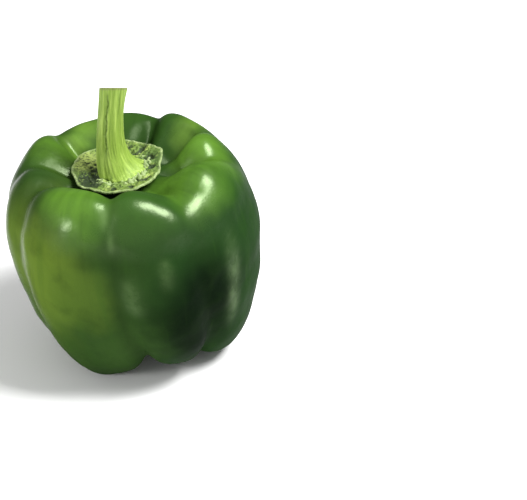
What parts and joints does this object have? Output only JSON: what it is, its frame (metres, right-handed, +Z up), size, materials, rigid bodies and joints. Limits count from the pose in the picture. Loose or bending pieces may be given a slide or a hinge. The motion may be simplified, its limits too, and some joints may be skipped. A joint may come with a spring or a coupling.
{
  "type": "bell pepper",
  "caption": "Blocky green bell pepper with creased shoulders, standing upright on the lobes of its foot, with its calyx and cut stem.",
  "frame": {"origin": "on the surface that the pepper stands on, under the middle of its box", "axes": "+Z up, the way the pepper stands; -Y is the side that faces the camera; the pod's axis leans towards -X"},
  "size_m": [0.094, 0.0936, 0.1146],
  "materials": {
    "pod_skin": "waxy gloss, mottled dark and yellow green",
    "calyx": "rough, pitted, pale thin rim",
    "stem": "fibrous, fine lengthwise streaks"
  },
  "bodies": {
    "root": {"pod": "pod_skin", "calyx": "calyx", "stem": "stem"}
  },
  "joints": []
}
